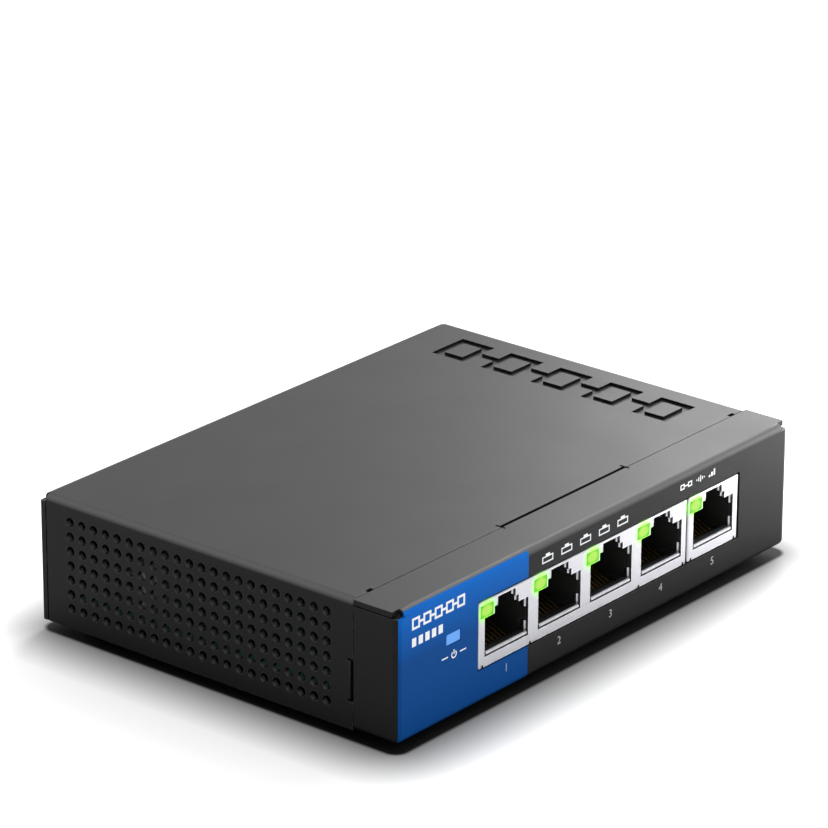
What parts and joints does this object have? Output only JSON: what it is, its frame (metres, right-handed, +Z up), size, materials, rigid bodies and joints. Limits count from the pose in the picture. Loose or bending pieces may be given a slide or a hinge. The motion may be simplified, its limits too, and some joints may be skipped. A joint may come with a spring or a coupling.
{
  "type": "desktop network switch",
  "caption": "Small desktop network switch: folded sheet-steel case with side vents, shielded sockets with lamps in the front, power inlet behind.",
  "frame": {"origin": "under the middle of the case, on the surface that the feet stand on", "axes": "+X to the right as the sockets are faced, +Y from the socket face to the rear, +Z up"},
  "size_m": [0.11, 0.08, 0.0255],
  "materials": {
    "pan_paint": "satin black powder coat, front printed blue at the left",
    "cover_paint": "satin black powder coat",
    "foot_rubber": "matt",
    "standoff_brass": "turned",
    "board_screw_steel": "zinc plated",
    "cover_screw_steel": "black oxide",
    "board_mask": "green solder mask",
    "tin_shield": "bright tin plate",
    "socket_plastic": "matt",
    "contact_gold": "gold flashed phosphor bronze",
    "port_lamp_green": "diffusing, lit green",
    "magnetics_black": "moulded",
    "power_lamp_blue": "diffusing, lit light blue",
    "led_body": "moulded",
    "chip_black": "moulded epoxy",
    "thermal_pad": "soft, matt",
    "heat_sink_aluminium": "extruded",
    "capacitor_sleeve": "shrunk sleeve",
    "inductor_ferrite": "ferrite",
    "crystal_can": "welded can",
    "inlet_plastic": "moulded",
    "inlet_metal": "nickel plated"
  },
  "bodies": {
    "case": {"base_pan": "pan_paint", "top_cover": "cover_paint", "foot_front_left": "foot_rubber", "foot_front_right": "foot_rubber", "foot_rear_left": "foot_rubber", "foot_rear_right": "foot_rubber", "board_standoff_front_left": "standoff_brass", "board_standoff_front_right": "standoff_brass", "board_standoff_rear_left": "standoff_brass", "board_standoff_rear_right": "standoff_brass", "board_screw_front_left": "board_screw_steel", "board_screw_front_right": "board_screw_steel", "board_screw_rear_left": "board_screw_steel", "board_screw_rear_right": "board_screw_steel", "cover_screw_left": "cover_screw_steel", "cover_screw_right": "cover_screw_steel", "main_board": "board_mask", "four_port_shield": "tin_shield", "single_port_shield": "tin_shield", "four_port_housing": "socket_plastic", "single_port_housing": "socket_plastic", "port_1_lamp": "port_lamp_green", "port_2_lamp": "port_lamp_green", "port_3_lamp": "port_lamp_green", "port_4_lamp": "port_lamp_green", "port_5_lamp": "port_lamp_green", "port_1_magnetics": "magnetics_black", "port_2_magnetics": "magnetics_black", "port_3_magnetics": "magnetics_black", "port_4_magnetics": "magnetics_black", "port_5_magnetics": "magnetics_black", "power_light_pipe": "power_lamp_blue", "power_led": "led_body", "switch_chip": "chip_black", "voltage_regulator": "chip_black", "flash_memory": "chip_black", "thermal_pad": "thermal_pad", "heat_sink": "heat_sink_aluminium", "input_capacitor": "capacitor_sleeve", "output_capacitor": "capacitor_sleeve", "power_inductor": "inductor_ferrite", "crystal": "crystal_can", "power_inlet_body": "inlet_plastic", "power_inlet_pin": "inlet_metal"},
    "port_1_springs": {"port_1_contacts": "contact_gold"},
    "port_2_springs": {"port_2_contacts": "contact_gold"},
    "port_3_springs": {"port_3_contacts": "contact_gold"},
    "port_4_springs": {"port_4_contacts": "contact_gold"},
    "port_5_springs": {"port_5_contacts": "contact_gold"},
    "inlet_spring": {"power_inlet_spring": "inlet_metal"}
  },
  "joints": [
    {"name": "port_1_spring_bend", "type": "hinge", "parent": "case", "child": "port_1_springs", "pos_m": [-0.0262, -0.0374, 0.0094], "axis": [-1, 0, 0], "range_deg": [0, 16], "stiffness_Nm_per_rad": 0.05},
    {"name": "port_2_spring_bend", "type": "hinge", "parent": "case", "child": "port_2_springs", "pos_m": [-0.0117, -0.0374, 0.0094], "axis": [-1, 0, 0], "range_deg": [0, 16], "stiffness_Nm_per_rad": 0.05},
    {"name": "port_3_spring_bend", "type": "hinge", "parent": "case", "child": "port_3_springs", "pos_m": [0.0028, -0.0374, 0.0094], "axis": [-1, 0, 0], "range_deg": [0, 16], "stiffness_Nm_per_rad": 0.05},
    {"name": "port_4_spring_bend", "type": "hinge", "parent": "case", "child": "port_4_springs", "pos_m": [0.0173, -0.0374, 0.0094], "axis": [-1, 0, 0], "range_deg": [0, 16], "stiffness_Nm_per_rad": 0.05},
    {"name": "port_5_spring_bend", "type": "hinge", "parent": "case", "child": "port_5_springs", "pos_m": [0.0326, -0.0374, 0.0094], "axis": [-1, 0, 0], "range_deg": [0, 16], "stiffness_Nm_per_rad": 0.05},
    {"name": "inlet_spring_bend", "type": "hinge", "parent": "case", "child": "inlet_spring", "pos_m": [0.034, 0.0284, 0.0099], "axis": [-1, 0, 0], "range_deg": [0, 6], "stiffness_Nm_per_rad": 0.05}
  ]
}
